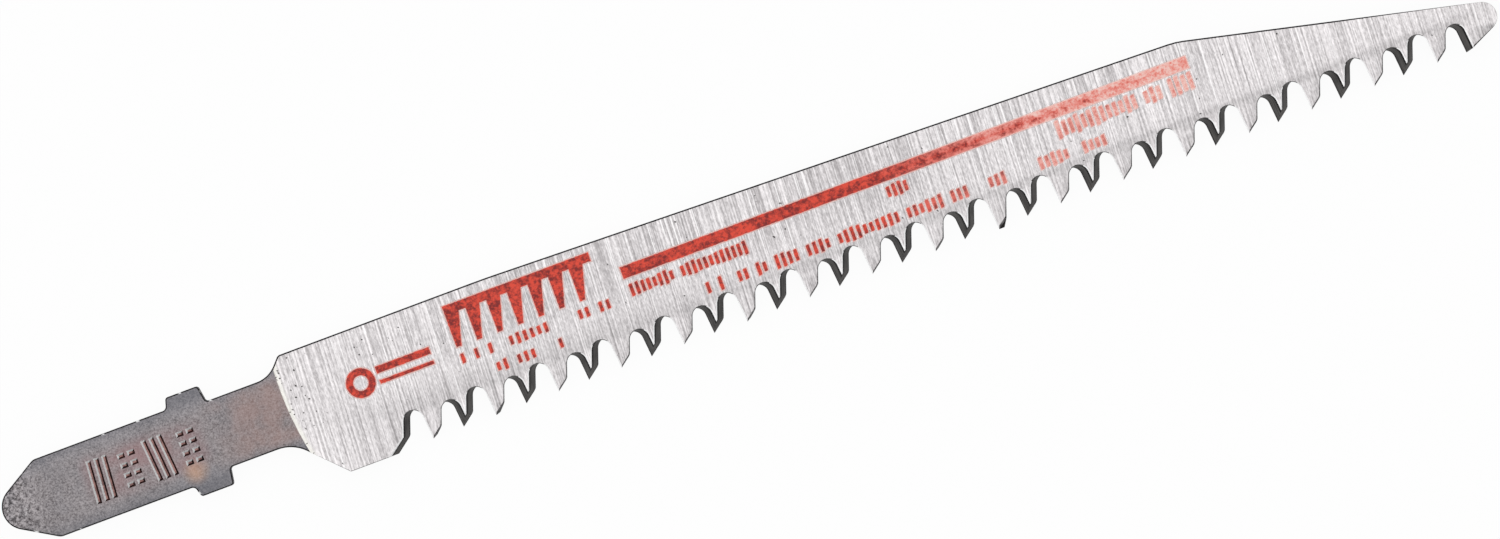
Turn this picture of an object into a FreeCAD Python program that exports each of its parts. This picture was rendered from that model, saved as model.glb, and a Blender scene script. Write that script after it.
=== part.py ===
import FreeCAD, Part
import math
import os

# A jigsaw blade with a T shank, ground for clean cuts in wood.
# It is one strip of tool steel, blanked to outline, ground thinner towards the back,
# and then given teeth by a grinding wheel that leans to one side and the other by turns.
# It lies flat on the underside of its shank.
# X runs from the tang to the nose, with zero at the middle of the lugs.
# Y runs from the teeth to the back, with zero on the centre line of the tang.
# Z runs up through the thickness, with zero on the underside.
# All lengths are millimetres and all angles are degrees.

# Strip
THICKNESS = 1.5
EDGE_ROLL = 0.1  # rounding that the blanking die leaves round the upper face

# Tang, the stem that the saw's holder clamps
TANG_LENGTH = 15.65  # from the middle of the lugs to the tip
TANG_WIDTH = 6.14
TIP_HALF_ANGLE = 31.0
TIP_RADIUS = 1.73
TANG_CORNER_RADIUS = 0.8

# Lugs, the two ears that stop the blade in the holder
LUG_HEIGHT = 0.86  # above the tang's edges
LUG_LENGTH = 2.55
LUG_REAR_DRAFT = 17.0
LUG_FRONT_DRAFT = 9.0
LUG_CORNER_RADIUS = 0.25
LUG_REAR_FILLET = 0.35
LUG_FRONT_FILLET = 0.25

# Neck, and the two shoulders where it widens into the body
NECK_WIDTH = 5.26
BACK_SHOULDER_X = 6.49
BACK_SHOULDER_ANGLE = 48.0
BACK_SHOULDER_FILLET = 2.1
BACK_SHOULDER_ROUND = 0.4
HEEL_SHOULDER_X = 6.43
HEEL_SHOULDER_ANGLE = 45.6
HEEL_SHOULDER_FILLET = 2.8
HEEL_CORNER_RADIUS = 0.2

# Body
BACK_HEIGHT = 3.955  # from the centre line up to the back
HEEL_DEPTH = 6.08  # from the centre line down to the heel's bottom edge
BACK_BEND_X = 24.1  # where the back starts to fall towards the nose
BACK_FALL_ANGLE = 1.6
BACK_BEND_RADIUS = 70.0

# Nose
NOSE_TAPER_LENGTH = 20.13  # from the last tooth back to where the nose starts to taper
NOSE_TAPER_ANGLE = 13.1
NOSE_BEND_RADIUS = 6.0
NOSE_RISE_ANGLE = 25.4  # of the edge that rises from the last tooth
NOSE_RISE_STEP = 0.083  # how far that edge passes below the last tooth's point
NOSE_RADIUS = 1.12

# Taper grinding of both faces
GRIND_START_X = 6.95
GRIND_CENTRE_Y = 1.45
GRIND_RUNOUT_RADIUS = 26.0  # of the mark that the wheel leaves at the shank
GRIND_DEPTH_TEETH = 0.03
GRIND_DEPTH_BACK = 0.15

# Teeth, in pairs: the first tooth of each has its point on the upper face, the second below
TOOTH_PAIRS = 17
PAIR_PITCH = 5.0
PAIR_STAGGER = 0.07  # how far the second gullet of a pair lies short of half the pitch
FIRST_GULLET_X = 15.76
TOOTH_STEP = 0.13  # how far the points lie inside the heel's bottom edge
DEEP_GULLET_DEPTH = 2.57
DEEP_GULLET_RADIUS = 0.77
SHALLOW_GULLET_DEPTH = 2.315
SHALLOW_GULLET_RADIUS = 0.75
FRONT_FLANK_ANGLE = 5.0  # of the cutting flank, from square to the tooth line
REAR_FLANK_ANGLE = 19.5
GULLET_SKEW_ANGLE = 20.7  # of the wheel, from square to the faces
FACET_ANGLE = 37.3  # of the clearance facet behind each point, from the tooth line
FACET_ROUND = 0.8  # of the arc that leads a facet into the flank behind it
FACET_SKEW_ANGLE = 17.7
LAST_FACET_ANGLE = 17.0

# Teeth that the facet wheel met badly, as on the blade in hand. Their facet leans out below:
# by tooth, how far it stands out at the upper face and how much more for each millimetre down.
STRAY_FACETS = {0: (0.0, 0.07), 2: (0.0, 0.15), 10: (0.03, 0.05), 16: (0.04, 0.06), 18: (0.11, 0.77)}

OVERSHOOT = 1.0  # how far each cutting shape reaches past what it cuts
SAME_PLACE = 0.000001  # nothing is drawn between ends that are closer than this
OUT = "parts"

UP = FreeCAD.Vector(0, 0, 1)
TOOTH_LINE_Y = TOOTH_STEP - HEEL_DEPTH
LAST_TOOTH = 2 * TOOTH_PAIRS - 1


def sin(angle):
    return math.sin(math.radians(angle))


def cos(angle):
    return math.cos(math.radians(angle))


def tan(angle):
    return math.tan(math.radians(angle))


def point(x, y, z=0.0):
    return FreeCAD.Vector(x, y, z)


def unit(vector):
    return vector * (1.0 / vector.Length)


def corner_reaches(points, radii):
    """How far each corner's arc reaches along its edges, held to what short edges allow."""
    count = len(points)
    edges = [points[(i + 1) % count] - points[i] for i in range(count)]
    wanted = [radii[i] * math.tan(edges[i - 1].getAngle(edges[i]) / 2) for i in range(count)]
    share = []
    for i, edge in enumerate(edges):
        both = wanted[i] + wanted[(i + 1) % count]
        share.append(min(1.0, edge.Length / both) if both > 0 else 1.0)
    return [wanted[i] * min(share[i - 1], share[i]) for i in range(count)]


def corner_arc(corner, back, ahead, reach):
    """The arc that rounds a corner and touches both edges at the distance reach."""
    half = back.getAngle(ahead) / 2
    to_centre = reach / math.cos(half)
    radius = reach * math.tan(half)
    middle = corner + unit(back + ahead) * (to_centre - radius)
    return Part.Arc(corner + back * reach, middle, corner + ahead * reach).toShape()


def rounded_face(corners):
    """A level face from corners (x, y, radius), straight between them."""
    points = [point(x, y) for x, y, radius in corners]
    reaches = corner_reaches(points, [radius for x, y, radius in corners])
    edges = []
    for i, corner in enumerate(points):
        following = (i + 1) % len(points)
        back = unit(points[i - 1] - corner)
        ahead = unit(points[following] - corner)
        if reaches[i] > 0:
            edges.append(corner_arc(corner, back, ahead, reaches[i]))
        start = corner + ahead * reaches[i]
        stop = points[following] - ahead * reaches[following]
        if not start.isEqual(stop, SAME_PLACE):
            edges.append(Part.LineSegment(start, stop).toShape())
    return Part.Face(Part.Wire(edges))


def is_deep(tooth):
    """True for the first tooth of each pair, which has the deep gullet before it."""
    return tooth % 2 == 0


def gullet_radius(tooth):
    return DEEP_GULLET_RADIUS if is_deep(tooth) else SHALLOW_GULLET_RADIUS


def gullet_centre(tooth):
    """The centre of the round top of the gullet before a tooth, halfway through the strip."""
    pair = tooth // 2
    if is_deep(tooth):
        x = FIRST_GULLET_X + pair * PAIR_PITCH
        depth = DEEP_GULLET_DEPTH
    else:
        x = FIRST_GULLET_X + (pair + 0.5) * PAIR_PITCH - PAIR_STAGGER
        depth = SHALLOW_GULLET_DEPTH
    return point(x, TOOTH_LINE_Y + depth - gullet_radius(tooth))


def gullet_lean(tooth):
    """How far along X the wheel moves for each millimetre up: deep gullets lean to the tang."""
    return -tan(GULLET_SKEW_ANGLE) if is_deep(tooth) else tan(GULLET_SKEW_ANGLE)


def point_height(tooth):
    """The face that the tooth's point lies on."""
    return THICKNESS if is_deep(tooth) else 0.0


def tooth_point(tooth):
    """The sharp point of a tooth, where its cutting flank meets the tooth line."""
    centre = gullet_centre(tooth)
    radius = gullet_radius(tooth)
    touch_x = centre.x + radius * cos(FRONT_FLANK_ANGLE)
    touch_y = centre.y + radius * sin(FRONT_FLANK_ANGLE)
    z = point_height(tooth)
    x = touch_x + (touch_y - TOOTH_LINE_Y) * tan(FRONT_FLANK_ANGLE)
    return point(x + gullet_lean(tooth) * (z - THICKNESS / 2), TOOTH_LINE_Y, z)


def through_strip(face, z, lean_x, lean_y):
    """Pushes a level face, drawn at height z, through the whole strip along a leaning line."""
    slope = point(lean_x, lean_y, 1.0)
    placed = face.translated(point(0, 0, z) - slope * (z + OVERSHOOT))
    return placed.extrude(slope * (THICKNESS + 2 * OVERSHOOT))


def outline_corners():
    """The blanked outline, from the tang's tip along the back to the nose and home below."""
    tang = TANG_WIDTH / 2
    lug = tang + LUG_HEIGHT
    neck = NECK_WIDTH / 2
    tip_x = -TANG_LENGTH - TIP_RADIUS * (1 / sin(TIP_HALF_ANGLE) - 1)
    tang_x = tip_x + tang / tan(TIP_HALF_ANGLE)
    lug_rear_x = -LUG_LENGTH / 2
    lug_rear_foot_x = lug_rear_x - LUG_HEIGHT * tan(LUG_REAR_DRAFT)
    lug_front_x = LUG_LENGTH / 2
    lug_front_foot_x = lug_front_x + (lug - neck) * tan(LUG_FRONT_DRAFT)
    back_x = BACK_SHOULDER_X + (BACK_HEIGHT - neck) / tan(BACK_SHOULDER_ANGLE)
    heel_x = HEEL_SHOULDER_X + (HEEL_DEPTH - neck) / tan(HEEL_SHOULDER_ANGLE)
    last = tooth_point(LAST_TOOTH)
    taper_x = last.x - NOSE_TAPER_LENGTH
    taper_y = BACK_HEIGHT - (taper_x - BACK_BEND_X) * tan(BACK_FALL_ANGLE)
    rise_y = last.y - NOSE_RISE_STEP
    closing = tan(NOSE_TAPER_ANGLE) + tan(NOSE_RISE_ANGLE)
    gap = taper_y - rise_y + NOSE_TAPER_LENGTH * tan(NOSE_RISE_ANGLE)
    nose_x = taper_x + gap / closing
    nose_y = rise_y + (nose_x - last.x) * tan(NOSE_RISE_ANGLE)
    rise_x = last.x - (rise_y + HEEL_DEPTH) / tan(NOSE_RISE_ANGLE)
    return [
        (tip_x, 0.0, TIP_RADIUS),
        (tang_x, tang, TANG_CORNER_RADIUS),
        (lug_rear_foot_x, tang, LUG_REAR_FILLET),
        (lug_rear_x, lug, LUG_CORNER_RADIUS),
        (lug_front_x, lug, LUG_CORNER_RADIUS),
        (lug_front_foot_x, neck, LUG_FRONT_FILLET),
        (BACK_SHOULDER_X, neck, BACK_SHOULDER_FILLET),
        (back_x, BACK_HEIGHT, BACK_SHOULDER_ROUND),
        (BACK_BEND_X, BACK_HEIGHT, BACK_BEND_RADIUS),
        (taper_x, taper_y, NOSE_BEND_RADIUS),
        (nose_x, nose_y, NOSE_RADIUS),
        (rise_x, -HEEL_DEPTH, 0.0),
        (heel_x, -HEEL_DEPTH, HEEL_CORNER_RADIUS),
        (HEEL_SHOULDER_X, -neck, HEEL_SHOULDER_FILLET),
        (lug_front_foot_x, -neck, LUG_FRONT_FILLET),
        (lug_front_x, -lug, LUG_CORNER_RADIUS),
        (lug_rear_x, -lug, LUG_CORNER_RADIUS),
        (lug_rear_foot_x, -tang, LUG_REAR_FILLET),
        (tang_x, -tang, TANG_CORNER_RADIUS),
    ]


def blank():
    """The strip as the die leaves it, with its upper edges rolled over."""
    strip = rounded_face(outline_corners()).extrude(UP * THICKNESS)
    middle = THICKNESS / 2
    upper = [edge for edge in strip.Edges if edge.BoundBox.ZMin > middle]
    return strip.makeFillet(EDGE_ROLL, upper)


def grinding_pass(reach_x):
    """What the wide wheel takes from the upper face: a wedge, deeper towards the back."""
    low_y = -HEEL_DEPTH - OVERSHOOT
    high_y = BACK_HEIGHT + OVERSHOOT
    centre_x = GRIND_START_X + GRIND_RUNOUT_RADIUS

    def runout(y):
        across = y - GRIND_CENTRE_Y
        return point(centre_x - math.sqrt(GRIND_RUNOUT_RADIUS ** 2 - across ** 2), y)

    low = runout(low_y)
    high = runout(high_y)
    far_low = point(reach_x, low_y)
    far_high = point(reach_x, high_y)
    edges = [
        Part.Arc(high, point(GRIND_START_X, GRIND_CENTRE_Y), low).toShape(),
        Part.LineSegment(low, far_low).toShape(),
        Part.LineSegment(far_low, far_high).toShape(),
        Part.LineSegment(far_high, high).toShape(),
    ]
    wedge = Part.Face(Part.Wire(edges)).extrude(UP * OVERSHOOT)
    wedge.translate(UP * (THICKNESS - GRIND_DEPTH_TEETH))
    fall = math.degrees(math.atan((GRIND_DEPTH_BACK - GRIND_DEPTH_TEETH) / (BACK_HEIGHT - TOOTH_LINE_Y)))
    hinge = point(0, TOOTH_LINE_Y, THICKNESS - GRIND_DEPTH_TEETH)
    wedge.rotate(hinge, point(1, 0, 0), -fall)
    return wedge


def taper_ground(strip):
    """Grinds the body on both faces, and leaves the shank at the full thickness."""
    upper = grinding_pass(strip.BoundBox.XMax + OVERSHOOT)
    lower = upper.mirror(UP * (THICKNESS / 2), UP)
    return strip.cut([upper, lower])


def gullet_cut(tooth):
    """The wheel's cut before a tooth: a round top between the flanks of two teeth."""
    centre = gullet_centre(tooth)
    radius = gullet_radius(tooth)
    floor_y = -HEEL_DEPTH - OVERSHOOT
    rear_touch = centre + point(-cos(REAR_FLANK_ANGLE), sin(REAR_FLANK_ANGLE)) * radius
    front_touch = centre + point(cos(FRONT_FLANK_ANGLE), sin(FRONT_FLANK_ANGLE)) * radius
    rear_foot = point(rear_touch.x - (rear_touch.y - floor_y) * tan(REAR_FLANK_ANGLE), floor_y)
    front_foot = point(front_touch.x + (front_touch.y - floor_y) * tan(FRONT_FLANK_ANGLE), floor_y)
    edges = [
        Part.Arc(rear_touch, centre + point(0, radius), front_touch).toShape(),
        Part.LineSegment(front_touch, front_foot).toShape(),
        Part.LineSegment(front_foot, rear_foot).toShape(),
        Part.LineSegment(rear_foot, rear_touch).toShape(),
    ]
    return through_strip(Part.Face(Part.Wire(edges)), THICKNESS / 2, gullet_lean(tooth), 0.0)


def facet_cut(tooth):
    """The clearance facet behind a tooth's point, bevelled away from the point's own face.

    On that face an arc leads it into the next gullet's rear flank. It ends inside that gullet,
    so it never reaches the next tooth.
    """
    tip = tooth_point(tooth)
    stand_out = 0.0
    lean = -tan(FACET_SKEW_ANGLE) if is_deep(tooth) else tan(FACET_SKEW_ANGLE)
    if tooth in STRAY_FACETS:
        stand_out, lean = STRAY_FACETS[tooth]
    start = tip - point(0, stand_out)
    end = gullet_centre(tooth + 1)
    flank_x = end.x + gullet_lean(tooth + 1) * (tip.z - THICKNESS / 2)
    flank_x -= gullet_radius(tooth + 1) / cos(REAR_FLANK_ANGLE)
    reach = flank_x - (end.y - start.y) * tan(REAR_FLANK_ANGLE) - start.x
    run = reach / (1 - tan(FACET_ANGLE) * tan(REAR_FLANK_ANGLE))
    meeting = (start.x + run, start.y + run * tan(FACET_ANGLE), FACET_ROUND)
    return facet_wedge(start, FACET_ANGLE, lean, end.x, [(flank_x, end.y, 0.0), meeting])


def facet_wedge(start, angle, lean, end_x, upper_corners):
    """All that lies below a line that rises from start, up to the upper corners and end_x."""
    floor_y = -HEEL_DEPTH - OVERSHOOT - THICKNESS
    low_x = start.x - (start.y - floor_y) / tan(angle)
    face = rounded_face([(low_x, floor_y, 0.0), (end_x, floor_y, 0.0), *upper_corners])
    return through_strip(face, start.z, 0.0, lean)


def last_facet_cut():
    """The short square facet that trims the last tooth where the nose begins."""
    tip = tooth_point(LAST_TOOTH)
    run = NOSE_RISE_STEP / (tan(NOSE_RISE_ANGLE) - tan(LAST_FACET_ANGLE))
    end = (tip.x + run, tip.y + run * tan(LAST_FACET_ANGLE), 0.0)
    return facet_wedge(tip, LAST_FACET_ANGLE, 0.0, tip.x + run, [end])


def blade():
    """The whole blade. The facet before the first tooth shapes the heel's front end."""
    ground = taper_ground(blank())
    notched = ground.cut([gullet_cut(tooth) for tooth in range(LAST_TOOTH + 1)])
    facets = [facet_cut(tooth) for tooth in range(-1, LAST_TOOTH)]
    toothed = notched.cut(facets + [last_facet_cut()])
    return toothed.removeSplitter()


os.makedirs(OUT, exist_ok=True)
body = blade()
body.exportStep(os.path.join(OUT, "blade.step"))
size = body.BoundBox
print("solids", len(body.Solids), "valid", body.isValid(), "faces", len(body.Faces))
print("volume", round(body.Volume, 2))
print("size", round(size.XLength, 2), round(size.YLength, 2), round(size.ZLength, 2))
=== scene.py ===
import math
from math import radians

import bmesh
import bpy
from mathutils import Color, Matrix, Vector


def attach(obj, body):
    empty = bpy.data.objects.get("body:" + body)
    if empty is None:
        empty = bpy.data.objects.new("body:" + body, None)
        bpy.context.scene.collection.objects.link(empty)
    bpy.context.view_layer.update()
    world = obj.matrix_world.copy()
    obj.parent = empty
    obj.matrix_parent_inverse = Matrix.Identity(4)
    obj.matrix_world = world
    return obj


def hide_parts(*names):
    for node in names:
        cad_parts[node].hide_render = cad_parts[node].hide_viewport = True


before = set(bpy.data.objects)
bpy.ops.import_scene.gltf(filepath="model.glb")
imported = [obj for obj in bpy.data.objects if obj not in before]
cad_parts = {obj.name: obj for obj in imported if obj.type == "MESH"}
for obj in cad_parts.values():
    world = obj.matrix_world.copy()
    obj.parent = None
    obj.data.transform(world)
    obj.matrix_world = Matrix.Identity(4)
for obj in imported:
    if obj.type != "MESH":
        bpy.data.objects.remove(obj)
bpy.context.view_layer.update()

# A jigsaw blade with a T shank, lying flat, seen from straight above.
# Its sizes are in millimetres and its angles in degrees, in the frame's own axes:
# X from the tang to the nose, Y from the teeth to the back, Z up through the thickness.
MM = 0.001

# Strip
THICKNESS = 1.5
EDGE_ROLL = 0.1

# Tang, lugs and neck
TANG_LENGTH = 15.65
TANG_WIDTH = 6.14
TIP_HALF_ANGLE = 31.0
TIP_RADIUS = 1.73
TANG_CORNER_RADIUS = 0.8
LUG_HEIGHT = 0.86
LUG_LENGTH = 2.55
LUG_REAR_DRAFT = 17.0
LUG_FRONT_DRAFT = 9.0
LUG_CORNER_RADIUS = 0.25
LUG_REAR_FILLET = 0.35
LUG_FRONT_FILLET = 0.25
NECK_WIDTH = 5.26
BACK_SHOULDER_X = 6.49
BACK_SHOULDER_ANGLE = 48.0
BACK_SHOULDER_FILLET = 2.1
BACK_SHOULDER_ROUND = 0.4
HEEL_SHOULDER_X = 6.43
HEEL_SHOULDER_ANGLE = 45.6
HEEL_SHOULDER_FILLET = 2.8
HEEL_CORNER_RADIUS = 0.2

# Body and nose
BACK_HEIGHT = 3.955
HEEL_DEPTH = 6.08
BACK_BEND_X = 24.1
BACK_FALL_ANGLE = 1.6
BACK_BEND_RADIUS = 70.0
NOSE_TAPER_LENGTH = 20.13
NOSE_TAPER_ANGLE = 13.1
NOSE_BEND_RADIUS = 6.0
NOSE_RISE_ANGLE = 25.4
NOSE_RISE_STEP = 0.083
NOSE_RADIUS = 1.12

# Taper grinding of both faces
GRIND_START_X = 6.95
GRIND_CENTRE_Y = 1.45
GRIND_RUNOUT_RADIUS = 26.0
GRIND_DEPTH_TEETH = 0.03
GRIND_DEPTH_BACK = 0.15

GRIND_END_X = 110.0

# Teeth, in pairs: the first of each has its point on the upper face, the second below
TOOTH_PAIRS = 17
PAIR_PITCH = 5.0
PAIR_STAGGER = 0.07
FIRST_GULLET_X = 15.76
TOOTH_STEP = 0.13
GULLET_DEPTHS = (2.57, 2.315)
GULLET_RADII = (0.77, 0.75)
FRONT_FLANK_ANGLE = 5.0
REAR_FLANK_ANGLE = 19.5
GULLET_SKEW_ANGLE = 20.7
FACET_ANGLE = 37.3
FACET_ROUND = 0.8  # of the arc that leads a facet into the next flank
FACET_SKEW_ANGLE = 17.7
LAST_FACET_ANGLE = 17.0
LAST_FACET_LAG = 1.5  # how much flatter than the nose the last facet leaves it
STRAY_FACETS = {0: (0.0, 0.07), 2: (0.0, 0.15), 10: (0.03, 0.05), 16: (0.04, 0.06), 18: (0.11, 0.77)}

OVERSHOOT = 1.0  # how far each cutting shape reaches past what it cuts
ARC_TURN = 6.0  # the most that a round stretch turns from one point to the next
ROLL_STEPS = 3
GULLET_STEPS = 22
FACET_STEPS = 5
RUNOUT_STEPS = 24

TOOTH_LINE_Y = TOOTH_STEP - HEEL_DEPTH
LAST_TOOTH = 2 * TOOTH_PAIRS - 1
FLOOR_Y = -HEEL_DEPTH - OVERSHOOT
GROUND_SLOPE = (GRIND_DEPTH_BACK - GRIND_DEPTH_TEETH) / (BACK_HEIGHT - TOOTH_LINE_Y)

# Edges
MERGE = 0.0005
SHARPEST_INSET = 0.3  # keeps an inset corner from running away, as a share of its distance
FLAT_FACE = 0.95  # a face counts as flat when its normal's Z is more than this
BODY_RIM = 0.11
RIM_DEPTH = 0.1  # of the break along the teeth's edges, from the strip's own face
RIM_SLOPE = 2.4
RIM_LAP = 0.04
RIM_TOP = 0.26  # the normal's Y and X beyond which a break gets painted shade
RIM_LEFT = -0.35
SHARP_ANGLE = 28.0

# Stamped marks on the shank: plain signs made of bars that don't touch, from -1 to 1 both ways
STAMP_CENTRES = (-7.84, -5.49, -3.21, -0.82)
STAMP_CENTRE_Y = -0.11
STAMP_WIDTH = 1.45
STAMP_HEIGHT = 2.9
STAMP_STROKE = 0.4  # the groove's width at the face, and below, its flat bottom's
STAMP_FLAT = 0.12
STAMP_DEPTH = 0.1
STAMP_LAP = 0.2  # how far the punch stands out above the face, as a share of its depth
STAMP_SLANT = 0.16
STAMP_BARS = (-0.86, 0.0, 0.86)
STAMP_DASHES = (-0.78, -0.26, 0.26, 0.78)
DASH_COLUMNS = (-0.55, 0.55)
DASH_HALF = 0.12
STAMP_WALL = 0.1  # how far to one side a wall of the stamp has to face to get painted highlight or painted shade

# Print on the upper face
INK_LIFT = 0.003
INK_THICKNESS = 0.012
INK_HALO = 0.2
PRINT_SEED = 4
RING_POINTS = 48
STRIPE_START = 33.96
STRIPE_END = 78.88
STRIPE_LOW = 0.32
STRIPE_HIGH = 1.1
SAW_BAND_FIELD = (20.5, 32.0, -0.1, 3.0)
SAW_BAND_TEETH = 7
SAW_BAND_BAR = 0.55
SAW_FOOT = 0.16  # as shares of the saw teeth's pitch
SAW_ROOT = 0.6
RING_SIGN = (12.8, -0.15, 1.05)
SIGN_STROKE = 0.4
SIGN_END = 18.4
SIGN_BARS = ((0.3, SIGN_STROKE), (-0.5, SIGN_STROKE / 3))
TICK_WIDTH = 0.13
TICK_HALO = 0.2
TICK_SHORTEST = 0.62
# Rows of ticks: left, right, low, high, step and share of gaps
TICK_FIELDS = (
    (20.6, 32.2, -1.57, -0.6, 0.55, 0.25),
    (22.9, 29.9, -3.06, -2.09, 0.55, 0.5),
    (34.2, 43.3, -1.27, -0.15, 0.45, 0.1),
    (54.7, 56.5, -1.12, 0.0, 0.45, 0.0),
    (68.2, 78.8, -1.42, 0.05, 0.5, 0.12),
    (38.1, 72.9, -3.13, -2.0, 0.5, 0.3),
)

# Finishes: places, and stretches along X or Y over which an effect comes or goes
MARK_LEAN = 3.0
CUT_SHEEN = 0.6
ROUGH_TIP = (-15.6, -11.2)
STAIN_FROM = (-9.6, -8.0)
STAIN_TO = (-0.6, 1.0)
HEAT_SPOT = (-1.0, -2.0)
BROWN_NECK = (0.0, 4.5)
PITTED_REACH = 2.4
PIT_CLUSTER = (8.5, -2.1)
# Painted shade on the ground steel, evening out the lamp's bright reflection
HOT_SPOT_SHADE_FROM = (12.0, 32.0)
HOT_SPOT_SHADE_TO = (55.0, 84.0)
HOT_SPOT_SHADE_ACROSS = (-4.5, 1.0)
WEAR = (52.0, 84.0)
WORN_LINE_Y = 0.7

# View and light
PHOTO_WIDTH = 1500
PIXELS_PER_MM = 13.4
VIEW_CENTRE = (42.97, -2.38)
VIEW_TURN = -20.5
LENS = 250.0
SENSOR = 36.0
FLOOR_SIZE = 1500.0
FLOOR_GAP = 0.01
FLOOR_PAINT = 0.9
FLOOR_WHITE = 0.95
WHITE = (1.0, 1.0, 1.0, 1.0)
ROOM_TURN = (-0.2, 0.8)
ROOM_LOW = 0.4
ROOM_HIGH = 0.97
LAMP_SIZE = 500.0
LAMP_POWER = 0.5
LAMP_PLACE = (20.0, 120.0, 900.0)


def sin(angle):
    return math.sin(radians(angle))


def cos(angle):
    return math.cos(radians(angle))


def tan(angle):
    return math.tan(radians(angle))


def finished_mesh(name, build):
    """The plain mesh of what has been built."""
    mesh = bpy.data.meshes.new(name)
    build.to_mesh(mesh)
    build.free()
    return mesh


def placed(name, data):
    thing = bpy.data.objects.new(name, data)
    bpy.context.collection.objects.link(thing)
    return thing


def bands(build, rings):
    """The faces from each ring of points to the next, in one list for each step."""
    made = []
    for lower, upper in zip(rings, rings[1:]):
        points = range(len(lower))
        made.append([build.faces.new((lower[i - 1], lower[i], upper[i], upper[i - 1])) for i in points])
    return made


# Node trees

def arithmetic(operation, swapped=False):
    """A method that writes an operator as a node."""
    def method(self, other):
        values = (other, self) if swapped else (self, other)
        return self.plan.maths(operation, *values)
    return method


class Field:
    """A number that changes over a mesh or a surface, with ordinary arithmetic."""

    __add__ = __radd__ = arithmetic("ADD")
    __sub__ = arithmetic("SUBTRACT")
    __rsub__ = arithmetic("SUBTRACT", swapped=True)
    __mul__ = __rmul__ = arithmetic("MULTIPLY")
    __truediv__ = arithmetic("DIVIDE")
    __rtruediv__ = arithmetic("DIVIDE", swapped=True)
    __gt__ = arithmetic("GREATER_THAN")
    __lt__ = arithmetic("LESS_THAN")

    def __init__(self, plan, socket):
        self.plan = plan
        self.socket = socket


class Plan:
    """A node tree under construction."""

    def __init__(self, tree):
        self.tree = tree

    def node(self, kind, values=(), **settings):
        """Adds a node. Values go to its inputs by name or number, settings to the node."""
        made = self.tree.nodes.new(kind)
        for name, value in settings.items():
            setattr(made, name, value)
        for key, value in dict(values).items():
            self.plug(value, made.inputs[key])
        return made

    def plug(self, value, socket):
        """Links a field, or a list of fields, or sets a plain value."""
        if isinstance(value, (Field, list)):
            for one in value if isinstance(value, list) else [value]:
                self.tree.links.new(one.socket, socket)
        else:
            socket.default_value = value

    def field(self, kind, values=(), output=0, **settings):
        """Adds a node and gives one of its outputs."""
        return Field(self, self.node(kind, values, **settings).outputs[output])

    def shape(self, kind, values=(), **settings):
        """Adds a node that works on geometry."""
        return self.field("GeometryNode" + kind, values, **settings)

    def maths(self, operation, *values):
        return self.field("ShaderNodeMath", enumerate(values), operation=operation)

    def vector(self, x, y, z):
        return self.field("ShaderNodeCombineXYZ", {"X": x, "Y": y, "Z": z})

    def parts(self, vector):
        """The X, Y and Z of a vector."""
        split = self.node("ShaderNodeSeparateXYZ", {"Vector": vector})
        return [Field(self, output) for output in split.outputs]

    def parts_of(self, kind):
        """The X, Y and Z of a mesh's own position or normal."""
        return self.parts(self.shape("Input" + kind))

    def ramp(self, value, low, high, start=0.0, stop=1.0):
        """Turns a value between low and high smoothly into one between start and stop."""
        values = {"Value": value, "From Min": low, "From Max": high, "To Min": start, "To Max": stop}
        return self.field("ShaderNodeMapRange", values, interpolation_type="SMOOTHSTEP")

    def fall(self, value, low, high):
        return 1 - self.ramp(value, low, high)

    def noise(self, place, scale, detail=2.0, rough=0.55):
        values = {"Vector": place, "Scale": scale, "Detail": detail, "Roughness": rough}
        return self.field("ShaderNodeTexNoise", values)

    def mix(self, share, first, second):
        """A colour between two others."""
        return self.field("ShaderNodeMix", {0: share, 6: first, 7: second}, output=2, data_type="RGBA")


SOCKETS = {float: "Float", int: "Int", tuple: "Vector", str: "Geometry", type(None): "Object"}


def new_group(name, inputs, outputs, kind="GeometryNodeTree"):
    """A node group with named inputs and outputs. Gives its plan, its inputs and its exit."""
    plan = Plan(bpy.data.node_groups.new(name, kind))
    for label, default in inputs.items():
        kind_of_socket = "NodeSocket" + SOCKETS[type(default)]
        made = plan.tree.interface.new_socket(label, in_out="INPUT", socket_type=kind_of_socket)
        if isinstance(default, (float, int, tuple)):
            made.default_value = default
    out_kind = "NodeSocketGeometry" if kind == "GeometryNodeTree" else "NodeSocketFloat"
    for label in outputs:
        plan.tree.interface.new_socket(label, in_out="OUTPUT", socket_type=out_kind)
    entry = plan.tree.nodes.new("NodeGroupInput")
    given = {label: Field(plan, entry.outputs[label]) for label in inputs}
    return plan, given, plan.tree.nodes.new("NodeGroupOutput")


def numbers(*labels):
    """Inputs that every use of a group sets."""
    return dict.fromkeys(labels, 0.0)


def shared_effect(name, labels, outputs):
    """A group for shaders. It works on a place in millimetres."""
    return new_group(name, {"Place": (0.0, 0.0, 0.0), **numbers(*labels)}, outputs, "ShaderNodeTree")


# Teeth and outline, worked out from the sizes

def gullet_centre(tooth):
    """The middle of the round top of the gullet before a tooth, at half the thickness."""
    odd = tooth % 2
    x = FIRST_GULLET_X + tooth // 2 * PAIR_PITCH + odd * (PAIR_PITCH / 2 - PAIR_STAGGER)
    return Vector((x, TOOTH_LINE_Y + GULLET_DEPTHS[odd] - GULLET_RADII[odd], THICKNESS / 2))


def lean(tooth, angle=GULLET_SKEW_ANGLE):
    """How much a cut moves along X on its way up through the thickness."""
    return tan(angle) if tooth % 2 else -tan(angle)


def tooth_point(tooth):
    odd = tooth % 2
    centre = gullet_centre(tooth)
    touch_x = centre.x + GULLET_RADII[odd] * cos(FRONT_FLANK_ANGLE)
    touch_y = centre.y + GULLET_RADII[odd] * sin(FRONT_FLANK_ANGLE)
    z = 0.0 if odd else THICKNESS
    x = touch_x + (touch_y - TOOTH_LINE_Y) * tan(FRONT_FLANK_ANGLE)
    return Vector((x + lean(tooth) * (z - THICKNESS / 2), TOOTH_LINE_Y, z))


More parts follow.
